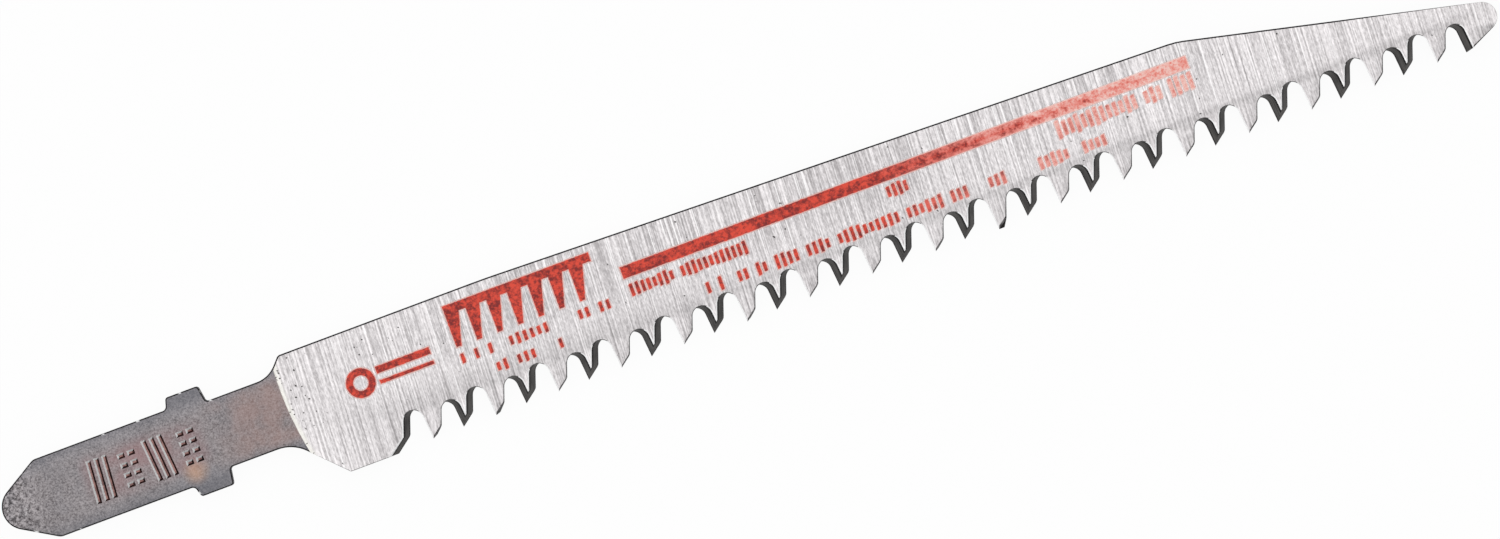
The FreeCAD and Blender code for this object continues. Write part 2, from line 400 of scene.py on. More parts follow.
def ground_height(y):
    """How high the upper ground face lies."""
    return THICKNESS - GRIND_DEPTH_TEETH - (y - TOOTH_LINE_Y) * GROUND_SLOPE


def outline_corners():
    """The blanked outline, from the tang's tip below the teeth to the nose and home along the back."""
    tang = TANG_WIDTH / 2
    lug = tang + LUG_HEIGHT
    neck = NECK_WIDTH / 2
    tip_x = -TANG_LENGTH - TIP_RADIUS * (1 / sin(TIP_HALF_ANGLE) - 1)
    half = LUG_LENGTH / 2
    shank = [
        (tip_x + tang / tan(TIP_HALF_ANGLE), tang, TANG_CORNER_RADIUS),
        (-half - LUG_HEIGHT * tan(LUG_REAR_DRAFT), tang, LUG_REAR_FILLET),
        (-half, lug, LUG_CORNER_RADIUS),
        (half, lug, LUG_CORNER_RADIUS),
        (half + (lug - neck) * tan(LUG_FRONT_DRAFT), neck, LUG_FRONT_FILLET),
    ]
    back_x = BACK_SHOULDER_X + (BACK_HEIGHT - neck) / tan(BACK_SHOULDER_ANGLE)
    heel_x = HEEL_SHOULDER_X + (HEEL_DEPTH - neck) / tan(HEEL_SHOULDER_ANGLE)
    last = tooth_point(LAST_TOOTH)
    taper_x = last.x - NOSE_TAPER_LENGTH
    taper_y = BACK_HEIGHT - (taper_x - BACK_BEND_X) * tan(BACK_FALL_ANGLE)
    rise_y = last.y - NOSE_RISE_STEP
    gap = taper_y - rise_y + NOSE_TAPER_LENGTH * tan(NOSE_RISE_ANGLE)
    nose_x = taper_x + gap / (tan(NOSE_TAPER_ANGLE) + tan(NOSE_RISE_ANGLE))
    nose_y = rise_y + (nose_x - last.x) * tan(NOSE_RISE_ANGLE)
    rise_x = last.x - (rise_y + HEEL_DEPTH) / tan(NOSE_RISE_ANGLE)
    return [
        (tip_x, 0.0, TIP_RADIUS),
        *[(x, -y, radius) for x, y, radius in shank],
        (HEEL_SHOULDER_X, -neck, HEEL_SHOULDER_FILLET),
        (heel_x, -HEEL_DEPTH, HEEL_CORNER_RADIUS),
        (rise_x, -HEEL_DEPTH, 0.0),
        (nose_x, nose_y, NOSE_RADIUS),
        (taper_x, taper_y, NOSE_BEND_RADIUS),
        (BACK_BEND_X, BACK_HEIGHT, BACK_BEND_RADIUS),
        (back_x, BACK_HEIGHT, BACK_SHOULDER_ROUND),
        (BACK_SHOULDER_X, neck, BACK_SHOULDER_FILLET),
        *reversed(shank),
    ]


def corner_reaches(points, radii):
    """How far each corner's arc reaches along its edges, held to what short edges allow."""
    count = len(points)
    edges = [points[(i + 1) % count] - points[i] for i in range(count)]
    wanted = [radii[i] * math.tan(edges[i - 1].angle(edges[i]) / 2) for i in range(count)]
    share = []
    for i, edge in enumerate(edges):
        both = wanted[i] + wanted[(i + 1) % count]
        share.append(min(1.0, edge.length / both) if both else 1.0)
    return [wanted[i] * min(share[i - 1], share[i]) for i in range(count)]


def rounded(corners):
    """The points of a closed outline with round corners (x, y, radius)."""
    points = [Vector((x, y)) for x, y, radius in corners]
    reaches = corner_reaches(points, [radius for x, y, radius in corners])
    outline = []
    for i, corner in enumerate(points):
        back = (points[i - 1] - corner).normalized()
        ahead = (points[(i + 1) % len(points)] - corner).normalized()
        if reaches[i] == 0:
            outline.append(corner)
            continue
        half = back.angle(ahead) / 2
        radius = reaches[i] * math.tan(half)
        centre = corner + (back + ahead).normalized() * reaches[i] / math.cos(half)
        spoke = corner + back * reaches[i] - centre
        turn = (math.pi - 2 * half) * (1 if ahead.cross(back) > 0 else -1)
        steps = max(2, math.ceil(abs(math.degrees(turn)) / ARC_TURN))
        for step in range(steps + 1):
            outline.append(centre + Matrix.Rotation(turn * step / steps, 2) @ spoke)
    return outline


def inset(outline, distance):
    """The outline moved inwards by a distance. It runs anticlockwise."""
    inner = []
    for i, point in enumerate(outline):
        before = (point - outline[i - 1]).normalized()
        after = (outline[(i + 1) % len(outline)] - point).normalized()
        along = (before + after).normalized()
        inwards = Vector((-along.y, along.x))
        inner.append(point + inwards * distance / max(SHARPEST_INSET, along.dot(before)))
    return inner


def blank_mesh():
    """The strip as the die leaves it, with its upper edges rolled over."""
    outline = rounded(outline_corners())
    levels = [(0.0, 0.0)]
    for step in range(ROLL_STEPS + 1):
        roll = 90.0 * step / ROLL_STEPS
        levels.append((THICKNESS - EDGE_ROLL * (1 - sin(roll)), EDGE_ROLL * (1 - cos(roll))))
    build = bmesh.new()
    rings = []
    for z, distance in levels:
        rings.append([build.verts.new((*point, z)) for point in inset(outline, distance)])
    build.faces.new(reversed(rings[0]))
    build.faces.new(rings[-1])
    for level, band in enumerate(bands(build, rings)):
        for side in band:
            side.material_index = 1 if level == 0 else 2
    return finished_mesh("blade", build)


# Cutting shapes

def tooth_wheel(name, *labels):
    """A group for a tooth wheel, with the heights of its ends and how much wider it cuts there."""
    inputs = numbers(*labels, "Lean", "Drop", "Low", "High", "Low swell", "High swell")
    return new_group(name, inputs, ["Mesh"])


def wheel_bar(plan, corners):
    """The bar that a wheel's profile is laid on, with each of its points' corner and end."""
    bar = plan.shape("MeshCylinder", {"Vertices": corners, "Side Segments": 1})
    corner = plan.maths("MODULO", plan.shape("InputIndex"), corners)
    return bar, corner, plan.parts_of("Position")[2] > 0


def wheel_ends(given, is_high):
    """How high each point of a tooth wheel lies, and how much wider the wheel cuts there."""
    height = given["Low"] + is_high * (given["High"] - given["Low"])
    swell = given["Low swell"] + is_high * (given["High swell"] - given["Low swell"])
    return height, swell


def laid(plan, shape, place, end):
    """Puts a shape's points in their places, as the result of a group."""
    cut = plan.shape("SetPosition", {"Geometry": shape, "Position": place})
    plan.plug(cut, end.inputs[0])
    return plan.tree


def gullet_wheel():
    """A group for one wheel cut: a leaning bar with a round top between two flanks."""
    plan, given, end = tooth_wheel("Gullet wheel", "Radius", "Front flank", "Rear flank")
    bar, corner, is_high = wheel_bar(plan, GULLET_STEPS + 3)
    height, swell = wheel_ends(given, is_high)
    is_foot = corner > GULLET_STEPS + 0.5
    is_front = corner > GULLET_STEPS + 1.5
    step = plan.maths("MINIMUM", corner * (1 - is_front), GULLET_STEPS)
    front = given["Front flank"]
    rear = given["Rear flank"]
    turn = front + (math.pi - rear - front) * step / GULLET_STEPS
    radius = given["Radius"] + swell
    arc_x = radius * plan.maths("COSINE", turn)
    arc_y = radius * plan.maths("SINE", turn)
    run = is_foot * (arc_y + given["Drop"])
    spread = is_front * plan.maths("TANGENT", front) - (1 - is_front) * plan.maths("TANGENT", rear)
    x = arc_x + run * spread + height * given["Lean"]
    return laid(plan, bar, plan.vector(x, arc_y - run, height), end)


def facet_wheel():
    """A group for one facet cut: all that lies below a rising line, leaning through the strip.

    Where the line reaches the next gullet's flank, an arc leads it into that flank's direction.
    """
    labels = ["Angle", "Straight", "Round", "Flank", "Top", "End"]
    plan, given, end = tooth_wheel("Facet wheel", *labels)
    bar, corner, is_high = wheel_bar(plan, FACET_STEPS + 4)
    height, swell = wheel_ends(given, is_high)
    is_top = corner < 0.5
    is_low = corner > FACET_STEPS + 1.5
    is_left = is_low * (corner < FACET_STEPS + 2.5)
    steep = math.pi / 2 - given["Flank"]
    step = plan.maths("MINIMUM", plan.maths("MAXIMUM", corner - 1, 0), FACET_STEPS)
    turn = steep - (steep - given["Angle"]) * step / FACET_STEPS
    slope = plan.maths("TANGENT", given["Angle"])
    sine = plan.maths("SINE", turn)
    cosine = plan.maths("COSINE", turn)
    arc_x = given["Straight"] + given["Round"] * (sine - plan.maths("SINE", given["Angle"]))
    arc_y = given["Straight"] * slope + given["Round"] * (plan.maths("COSINE", given["Angle"]) - cosine)
    rise = is_top * (given["Top"] - arc_y)
    arc_x = arc_x + rise * plan.maths("TANGENT", given["Flank"])
    arc_y = arc_y + rise
    low_x = given["End"] - is_left * (given["End"] + given["Drop"] / slope)
    x = arc_x + is_low * (low_x - arc_x) - swell * sine
    y = arc_y + is_low * (0 - given["Drop"] - arc_y) + swell * cosine
    return laid(plan, bar, plan.vector(x, y + height * given["Lean"], height), end)


def grinding_wheel():
    """A group for one taper-grinding pass: a wedge with an arc where the wheel runs out."""
    plan, given, end = new_group("Grinding wheel", {
        "Start": GRIND_START_X, "Centre": GRIND_CENTRE_Y, "Radius": GRIND_RUNOUT_RADIUS,
        "Low": FLOOR_Y, "High": BACK_HEIGHT + OVERSHOOT, "Far": GRIND_END_X,
    }, ["Mesh"])
    slab, corner, is_top = wheel_bar(plan, RUNOUT_STEPS + 3)
    is_far = corner > RUNOUT_STEPS + 0.5
    is_home = corner > RUNOUT_STEPS + 1.5
    step = plan.maths("MINIMUM", corner * (1 - is_home), RUNOUT_STEPS)
    y = given["High"] - (given["High"] - given["Low"]) * step / RUNOUT_STEPS
    across = y - given["Centre"]
    dip = plan.maths("SQRT", given["Radius"] * given["Radius"] - across * across)
    x = given["Start"] + given["Radius"] - dip
    x = x + is_far * (given["Far"] - x)
    plane = ground_height(y)
    return laid(plan, slab, plan.vector(x, y, plane + is_top * (THICKNESS + OVERSHOOT - plane)), end)


def tooth_row(plan, shape, start, selected=True):
    """Copies of a cutting shape, one for each pair of teeth."""
    values = {"Count": TOOTH_PAIRS, "Start Location": start, "Offset": (PAIR_PITCH, 0.0, 0.0)}
    line = plan.shape("MeshLine", values)
    values = {"Points": line, "Instance": shape, "Selection": selected}
    copies = plan.shape("InstanceOnPoints", values)
    return plan.shape("RealizeInstances", {"Geometry": copies})


def moved(plan, shape, place):
    return plan.shape("Transform", {"Geometry": shape, "Translation": place})


def numbered(plan, shapes, number):
    """The shapes with a number on their faces, for the finish that they leave on what they cut."""
    done = []
    for shape in shapes:
        values = {"Geometry": shape, "Name": "cut", "Value": number}
        done.append(plan.shape("StoreNamedAttribute", values, data_type="INT", domain="FACE"))
    return done


def facet_length(tooth, stand_out):
    """How far along X a facet runs, on its point's own face, before it meets the next gullet."""
    tip = tooth_point(tooth) - Vector((0, stand_out, 0))
    after = tooth + 1
    centre = gullet_centre(after) + Vector((lean(after) * (tip.z - THICKNESS / 2), 0, 0))
    touch = centre + Vector((-cos(REAR_FLANK_ANGLE), sin(REAR_FLANK_ANGLE), 0)) * GULLET_RADII[after % 2]
    flank_x = touch.x - (touch.y - tip.y) * tan(REAR_FLANK_ANGLE)
    return (flank_x - tip.x) / (1 - tan(FACET_ANGLE) * tan(REAR_FLANK_ANGLE))


def ends(span, middle):
    """A wheel's inputs for a span of heights, as measured from the middle of its shape."""
    low, high, low_swell, high_swell = span
    return {"Low": low - middle, "High": high - middle, "Low swell": low_swell, "High swell": high_swell}


def facet_shape(plan, wheel, span, tooth, slant=None, stand_out=0.0, **sizes):
    """A facet cut behind a tooth's point, with the point at its origin."""
    tip = tooth_point(tooth)
    arc_share = FACET_ROUND * tan((90 - REAR_FLANK_ANGLE - FACET_ANGLE) / 2)
    values = {
        "Angle": radians(FACET_ANGLE),
        "Lean": lean(tooth, FACET_SKEW_ANGLE) if slant is None else slant,
        "Straight": facet_length(tooth, stand_out) - arc_share * cos(FACET_ANGLE),
        "Round": FACET_ROUND,
        "Flank": radians(REAR_FLANK_ANGLE),
        "Top": gullet_centre(tooth + 1).y - tip.y + stand_out,
        "End": gullet_centre(tooth + 1).x - tip.x,
        "Drop": OVERSHOOT,
        **ends(span, tip.z),
    }
    return plan.shape("Group", {**values, **sizes}, node_tree=wheel)


def facet_cuts(plan, wheel, span):
    """All facets: the row behind the lower points, the row behind the upper ones, and the strays."""
    index = plan.shape("InputIndex")
    selected = 1
    for tooth in STRAY_FACETS:
        selected = selected - plan.maths("COMPARE", index, tooth // 2, 0.5)
    upper = tooth_row(plan, facet_shape(plan, wheel, span, 0), tooth_point(0), selected)
    lower = tooth_row(plan, facet_shape(plan, wheel, span, -1), tooth_point(-1))
    strays = []
    for tooth, (stand_out, slant) in STRAY_FACETS.items():
        shape = facet_shape(plan, wheel, span, tooth, slant, stand_out)
        strays.append(moved(plan, shape, tooth_point(tooth) - Vector((0, stand_out, 0))))
    last = facet_shape(plan, wheel, span, LAST_TOOTH, 0.0, **{
        "Angle": radians(LAST_FACET_ANGLE),
        "Straight": NOSE_RISE_STEP / (tan(NOSE_RISE_ANGLE) - tan(LAST_FACET_ANGLE)),
        "Flank": radians(90 - NOSE_RISE_ANGLE + LAST_FACET_LAG),
    })
    return [lower, upper, *strays, moved(plan, last, tooth_point(LAST_TOOTH))]


def gullet_cuts(plan, wheel, span):
    """All gullets: one row before the upper points and one before the lower."""
    rows = []
    for odd in (0, 1):
        centre = gullet_centre(odd)
        shape = plan.shape("Group", {
            "Front flank": radians(FRONT_FLANK_ANGLE), "Rear flank": radians(REAR_FLANK_ANGLE),
            "Radius": GULLET_RADII[odd], "Drop": centre.y - FLOOR_Y, "Lean": lean(odd),
            **ends(span, centre.z),
        }, node_tree=wheel)
        rows.append(tooth_row(plan, shape, centre))
    return rows


def grinding_cuts(plan):
    """The two taper-grinding passes, on the upper and the lower face."""
    upper = plan.shape("Group", node_tree=grinding_wheel())
    values = {"Geometry": upper, "Translation": (0.0, 0.0, THICKNESS), "Scale": (1.0, 1.0, -1.0)}
    flipped = plan.shape("Transform", values)
    return [upper, plan.shape("FlipFaces", {"Mesh": flipped})]


def rim_cuts(plan, gullet, facet, bright, dark):
    """The breaks along the teeth's edges on both faces, with their numbers.

    A break gets a painted highlight, and painted shade round a gullet's top and on the flank and the facet
    that end the point on its own face.
    """
    x, y, z = plan.parts_of("Normal")
    on_top = y > RIM_TOP
    topped = bright + on_top * (dark - bright)
    turned = bright + plan.maths("MAXIMUM", on_top, x < RIM_LEFT) * (dark - bright)
    wide = 2 * RIM_DEPTH * RIM_SLOPE - RIM_LAP
    cuts = []
    for middle, swells in ((THICKNESS, (-RIM_LAP, wide)), (0.0, (wide, -RIM_LAP))):
        span = (middle - RIM_DEPTH, middle + RIM_DEPTH, *swells)
        even, odd = gullet_cuts(plan, gullet, span)
        lower, *upper = facet_cuts(plan, facet, span)
        lower = [lower]
        if middle == 0:
            even, odd, lower, upper = odd, even, upper, lower
        cuts += numbered(plan, lower, bright) + numbered(plan, [even], topped)
        cuts += numbered(plan, [odd], turned) + numbered(plan, upper, dark)
    return cuts


def grinding_tree(finishes):
    """The tree that grinds the blank into a blade and turns it to metres."""
    plan, given, end = new_group("Blade grinding", {"Blank": "geometry", "Stamp": None}, ["Blade"])
    gullet = gullet_wheel()
    facet = facet_wheel()
    through = (-OVERSHOOT, THICKNESS + OVERSHOOT, 0.0, 0.0)
    steps = {
        "ground steel": grinding_cuts(plan),
        "gullet steel": gullet_cuts(plan, gullet, through),
        "facet steel": facet_cuts(plan, facet, through),
    }
    names = [*steps, "bright rim", "dark rim", "stamped steel", "stamp shade"]
    cutters = []
    for number, shapes in enumerate(steps.values(), 1):
        cutters += numbered(plan, shapes, number)
    # Numbers of the painted highlight rim, the painted shade rim, the stamp floor and the painted stamp
    # shade
    bright, dark, floor, shade = [names.index(name) + 1 for name in names[-4:]]
    cutters += rim_cuts(plan, gullet, facet, bright, dark)
    # Stamp walls facing one way get the painted highlight, those facing the other way painted shade; the
    # floor stays stamped steel
    x, y, z = plan.parts_of("Normal")
    faces_right = x - y * 0.5
    painted_highlight_walls = (faces_right < -STAMP_WALL) * (bright - floor)
    number = floor + painted_highlight_walls + (faces_right > STAMP_WALL) * (shade - floor)
    stamp = plan.shape("ObjectInfo", {"Object": given["Stamp"]}, output="Geometry")
    cutters += numbered(plan, [stamp], number)
    values = {"Mesh 1": given["Blank"], "Mesh 2": cutters}
    blade = plan.shape("MeshBoolean", values, operation="DIFFERENCE", solver="MANIFOLD")
    cut = plan.shape("InputNamedAttribute", {"Name": "cut"}, data_type="INT")
    for number, name in enumerate(names, 1):
        here = plan.maths("COMPARE", cut, number, 0.5)
        values = {"Geometry": blade, "Selection": here, "Material": finishes[name]}
        blade = plan.shape("SetMaterial", values)
    real = plan.shape("Transform", {"Geometry": blade, "Scale": (MM, MM, MM)})
    plan.plug(plan.shape("RealizeInstances", {"Geometry": real}), end.inputs["Blade"])
    return plan.tree


def evaluated(thing, tree, values):
    """The plain mesh that a geometry tree makes of an object."""
    modifier = thing.modifiers.new(tree.name, "NODES")
    modifier.node_group = tree
    inputs = {item.name: item.identifier for item in tree.interface.items_tree if item.in_out == "INPUT"}
    for name, value in values.items():
        modifier[inputs[name]] = value
    graph = bpy.context.evaluated_depsgraph_get()
    mesh = bpy.data.meshes.new_from_object(thing.evaluated_get(graph))
    thing.modifiers.remove(modifier)
    return mesh


# Stamped marks

def stamp_signs():
    """The four signs: bars slanted one way, dashes, bars slanted the other way, and dashes."""
    signs = []
    for slant in (STAMP_SLANT, -STAMP_SLANT):
        signs.append([((x - slant, -1), (x + slant, 1)) for x in STAMP_BARS])
        signs.append([((x - DASH_HALF, y), (x + DASH_HALF, y)) for x in DASH_COLUMNS for y in STAMP_DASHES])
    return signs


def stamp_mesh():
    """A punch for the stamped marks: bars that narrow downwards, grouped in four plain signs."""
    build = bmesh.new()
    for centre, sign in zip(STAMP_CENTRES, stamp_signs()):
        for bar in sign:
            places = [(centre + x * STAMP_WIDTH / 2, STAMP_CENTRE_Y + y * STAMP_HEIGHT / 2) for x, y in bar]
            stamp_bar(build, Vector(places[0]), Vector(places[1]))
    return finished_mesh("stamp", build)


def stamp_bar(build, start, stop):
    """One bar of a sign, as wide as the stroke at the shank's face and narrower at the bottom."""
    along = (stop - start).normalized()
    across = Vector((-along.y, along.x))
    taper = (STAMP_STROKE - STAMP_FLAT) / 2 / STAMP_DEPTH
    rings = []
    for height in (-STAMP_DEPTH, STAMP_DEPTH * STAMP_LAP):
        half = STAMP_STROKE / 2 + height * taper
        ring = []
        for end, side_x, side_y in ((start, -1, -1), (stop, 1, -1), (stop, 1, 1), (start, -1, 1)):
            corner = end + (along * side_x + across * side_y) * half
            ring.append(build.verts.new((*corner, THICKNESS + height)))
        rings.append(ring)
    build.faces.new(reversed(rings[0]))
    build.faces.new(rings[1])
    bands(build, rings)


# Edges

def is_flat(face):
    return abs(face.normal.z) > FLAT_FACE


def dress_edges(mesh):
    """Rolls the ground body's rims and tells smooth stretches from sharp corners."""
    slots = {material.name: i for i, material in enumerate(mesh.materials)}
    sides = {slots["blanked edge"], slots["ground steel"]}
    build = bmesh.new()
    build.from_mesh(mesh)
    bmesh.ops.remove_doubles(build, verts=build.verts, dist=MERGE * MM)
    rims = []
    for edge in build.edges:
        faces = edge.link_faces
        if len(faces) == 2 and {face.material_index for face in faces} == sides:
            if is_flat(faces[0]) != is_flat(faces[1]):
                rims.append(edge)
    # The rolled rims take the rim finish, whose near-black colour is painted shade
    bmesh.ops.bevel(
        build, geom=rims, offset=BODY_RIM * MM, offset_type="OFFSET", segments=ROLL_STEPS, profile=0.5,
        affect="EDGES", clamp_overlap=False, material=slots["rim"], loop_slide=True,
    )
    build.normal_update()
    for face in build.faces:
        face.smooth = True
    build.to_mesh(mesh)
    build.free()
    mesh.set_sharp_from_angle(angle=radians(SHARP_ANGLE))


# Print

def ink_bands(build, rings, filled):
    """Ink between rings of points. Each ring has its cover, from 0 at the halo's end to 1."""
    layer = build.verts.layers.float["cover"]
    made = []
    for outline, cover in rings:
        ring = []
        for point in outline:
            z = ground_height(point.y) + INK_LIFT + cover * INK_THICKNESS
            vert = build.verts.new(Vector((point.x, point.y, z)) * MM)
            vert[layer] = cover
            ring.append(vert)
        made.append(ring)
    bands(build, made)
    if filled:
        build.faces.new(made[-1])


def ink_shape(build, outline):
    """A filled shape with its halo. The outline runs anticlockwise."""
    points = [Vector(point) for point in outline]
    ink_bands(build, [(inset(points, -INK_HALO), 0.0), (points, 1.0)], True)


def ink_box(build, left, right, low, high):
    ink_shape(build, [(left, low), (right, low), (right, high), (left, high)])


def ink_ring(build, x, y, outer, inner):
    """A round ring with a halo on both sides."""
    turns = [math.tau * i / RING_POINTS for i in range(RING_POINTS)]
    rings = []
    for radius, cover in ((outer + INK_HALO, 0.0), (outer, 1.0), (inner, 1.0), (inner - INK_HALO, 0.0)):
        ring = [Vector((x + radius * math.cos(turn), y + radius * math.sin(turn))) for turn in turns]
        rings.append((ring, cover))
    ink_bands(build, rings, False)


def new_ink():
    build = bmesh.new()
    build.verts.layers.float.new("cover")
    return build


def ink_piece(name, build, material):
    mesh = finished_mesh(name, build)
    mesh.materials.append(material)
    return placed(name, mesh)


def red_stripe(material):
    build = new_ink()
    ink_box(build, STRIPE_START, STRIPE_END, STRIPE_LOW, STRIPE_HIGH)
    return ink_piece("red_stripe", build, material)


def saw_band(material):
    """A plain bar with saw teeth below it, in the widest field of print."""
    build = new_ink()
    left, right, low, high = SAW_BAND_FIELD
    pitch = (right - left) / SAW_BAND_TEETH
    root = high - SAW_BAND_BAR
    outline = [(left, root)]
    for tooth in range(SAW_BAND_TEETH):
        start = left + tooth * pitch
        outline += [(start, low), (start + pitch * SAW_FOOT, low)]
        outline += [(start + pitch * SAW_ROOT, root), (start + pitch, root)]
    ink_shape(build, [*outline, (right, high), (left, high)])
    return ink_piece("saw_band", build, material)


def ring_and_bars(material):
    """A ring with two bars beside it, in the first field of print."""
    build = new_ink()
    x, y, radius = RING_SIGN
    ink_ring(build, x, y, radius, radius - SIGN_STROKE)
    for low, width in SIGN_BARS:
        ink_box(build, x + radius + SIGN_STROKE, SIGN_END, y + low, y + low + width)
    return ink_piece("ring_and_bars", build, material)


def tick_row_tree(material):
    """The tree that prints a row of upright ticks with gaps, each tick with its halo."""
    sizes = numbers("Step", "Start X", "Middle Y", "Tick height", "Gaps")
    sizes.update({"Count": 1, "Seed": 1, "Tick width": TICK_WIDTH, "Halo": TICK_HALO})
    plan, given, end = new_group("Tick row", {"Geometry": "geometry", **sizes}, ["Row"])
    values = {"Size X": 3.0, "Size Y": 3.0, "Vertices X": 4, "Vertices Y": 4}
    tick = plan.shape("MeshGrid", values)
    place = []
    beyond = []
    for part, size in zip(plan.parts_of("Position"), (given["Tick width"], given["Tick height"])):
        core = plan.maths("MAXIMUM", plan.maths("MINIMUM", part, 0.5), -0.5)
        out = part - core
        place.append(core * size + out * given["Halo"])
        beyond.append(plan.maths("ABSOLUTE", out))
    values = {"Geometry": tick, "Name": "cover", "Value": 1 - plan.maths("MAXIMUM", *beyond)}
    covered = plan.shape("StoreNamedAttribute", values)
    cover = plan.shape("InputNamedAttribute", {"Name": "cover"})
    place = plan.vector(*place, cover * INK_THICKNESS)
    line = plan.shape("MeshLine", {
        "Count": given["Count"],
        "Start Location": plan.vector(given["Start X"], given["Middle Y"], 0.0),
        "Offset": plan.vector(given["Step"], 0.0, 0.0),
    })
    chance = plan.field("FunctionNodeRandomValue", {"Seed": given["Seed"]}, output=1)
    values = {2: TICK_SHORTEST, 3: 1.0, "Seed": given["Seed"] + 1}
    height = plan.field("FunctionNodeRandomValue", values, output=1)
    copies = plan.shape("InstanceOnPoints", {
        "Points": line,
        "Instance": plan.shape("SetPosition", {"Geometry": covered, "Position": place}),
        "Selection": chance > given["Gaps"],
        "Scale": plan.vector(1.0, height, 1.0),
    })
    real = plan.shape("RealizeInstances", {"Geometry": copies})
    x, y, z = plan.parts_of("Position")
    place = plan.vector(x * MM, y * MM, (z + ground_height(y) + INK_LIFT) * MM)
    seated = plan.shape("SetPosition", {"Geometry": real, "Position": place})
    inked = plan.shape("SetMaterial", {"Geometry": seated, "Material": material})
    plan.plug(inked, end.inputs["Row"])
    return plan.tree


def tick_rows(material):
    """All small lines of print, as rows of plain ticks."""
    tree = tick_row_tree(material)
    build = bmesh.new()
    for seed, (left, right, low, high, step, gaps) in enumerate(TICK_FIELDS):
        carrier = placed("row", bpy.data.meshes.new("row"))
        row = evaluated(carrier, tree, {
            "Count": int((right - left) / step) + 1, "Step": step, "Start X": left,
            "Middle Y": (low + high) / 2, "Tick height": high - low - TICK_HALO,
            "Gaps": gaps, "Seed": 10 * seed + PRINT_SEED,
        })
        build.from_mesh(row)
        bpy.data.objects.remove(carrier)
        bpy.data.meshes.remove(row)
    return ink_piece("tick_rows", build, material)


# Finishes shared by several materials

def marks_group():
    """Fine streaks and single scratches along Y."""
    labels = ["Marks per mm", "Length"]
    plan, given, end = shared_effect("Grinding marks", labels, ["Shade", "Scratch", "Groove"])
    x, y, z = plan.parts(given["Place"])
    across = x * given["Marks per mm"]
    along = y / given["Length"]

    def streak(width, length, layer, detail):
        return plan.noise(plan.vector(across / width, along / length, layer), 1.0, detail) - 0.5

    shade = 0.5 + streak(1.0, 1.0, 0.0, 2.0) * 2.0 + streak(3.0, 1.3, 5.0, 2.0) * 0.1
    bright = plan.ramp(streak(1.0, 1.5, 17.0, 1.0), 0.12, 0.19)
    dark = plan.ramp(streak(1.0, 0.5, 29.0, 1.0), 0.15, 0.23)
    plan.plug(shade, end.inputs["Shade"])
    plan.plug(0.5 + bright * 0.5 - dark * 0.5, end.inputs["Scratch"])
    plan.plug(shade + bright * 0.4 - dark, end.inputs["Groove"])


def pits_group():
    """Small pits. The share says how many places have one."""
    plan, given, end = shared_effect("Pits", ["Spacing", "Share", "Size"], ["Pit"])
    x, y, z = plan.parts(given["Place"])
    wander = plan.noise(given["Place"], 6.0) * given["Spacing"]
    place = plan.vector(x + wander, y - wander, 0.0)
    cells = plan.node("ShaderNodeTexVoronoi", {"Vector": place, "Scale": 1 / given["Spacing"]})
    chance = plan.parts(Field(plan, cells.outputs["Color"]))[0]
    hole = plan.fall(Field(plan, cells.outputs["Distance"]), given["Size"] * 0.5, given["Size"])
    plan.plug(hole * (chance < given["Share"]), end.inputs["Pit"])


def mottle_group():
    """Uneven tone, coarse and fine."""
    plan, given, end = shared_effect("Mottle", ["Coarse", "Fine"], ["Cloud", "Speckle"])
    plan.plug(plan.noise(given["Place"], 1 / given["Coarse"], 3.0), end.inputs["Cloud"])
    plan.plug(plan.noise(given["Place"], 1 / given["Fine"], 2.0, 0.7), end.inputs["Speckle"])


class Finish(Plan):
    """A material under construction."""

    def __init__(self, name, metallic, sheen=1.0):
        self.material = bpy.data.materials.new(name)
        self.material.use_nodes = True
        super().__init__(self.material.node_tree)
        self.shader = self.tree.nodes["Principled BSDF"]
        self.shader.inputs["Metallic"].default_value = metallic
        self.shader.inputs["Specular Tint"].default_value = (sheen, sheen, sheen, 1.0)

    def place(self, turn=0.0):
        """Where a point of the blade lies, in millimetres, turned in the blade's plane."""
        spot = self.field("ShaderNodeTexCoord", output=3)
        values = {"Vector": spot, "Rotation": (0.0, 0.0, radians(turn)), "Scale": (1 / MM,) * 3}
        return self.field("ShaderNodeMapping", values)

    def effect(self, name, place, **values):
        """One of the shared effects. Gives its outputs in their order."""
        named = {"Place": place, **{key.replace("_", " "): value for key, value in values.items()}}
        made = self.node("ShaderNodeGroup", named, node_tree=bpy.data.node_groups[name])
        return [Field(self, output) for output in made.outputs]

    def near(self, x, y, middle, full, none):
        """1 within a distance of a point of the blade's plane, and 0 beyond another."""
        out_x = x - middle[0]
        out_y = y - middle[1]
        return self.fall(self.maths("SQRT", out_x * out_x + out_y * out_y), full, none)

    def between(self, value, low, high, dark, light):
        """A colour that turns from dark to light as a value goes from low to high."""
        return self.mix(self.ramp(value, low, high), colour(*dark), colour(*light))

    def lay(self, share, *parts):
        """Lays a share of a colour over the shade."""
        self.shade = self.mix(share, self.shade, colour(*parts))

    def finish(self, rough, height, depth):
        """Gives the shader its colour, roughness and relief, with the depth in millimetres."""
        self.plug(self.shade, self.shader.inputs["Base Color"])
        self.plug(rough, self.shader.inputs["Roughness"])
        relief = self.field("ShaderNodeBump", {"Distance": depth * MM, "Height": height})
        self.plug(relief, self.shader.inputs["Normal"])
        return self.material


def colour(*parts):
    """A colour written as on a screen, from 0 to 255, as the shader needs it."""
    seen = Color([part / 255 for part in parts])
    return (*seen.from_srgb_to_scene_linear(), 1.0)


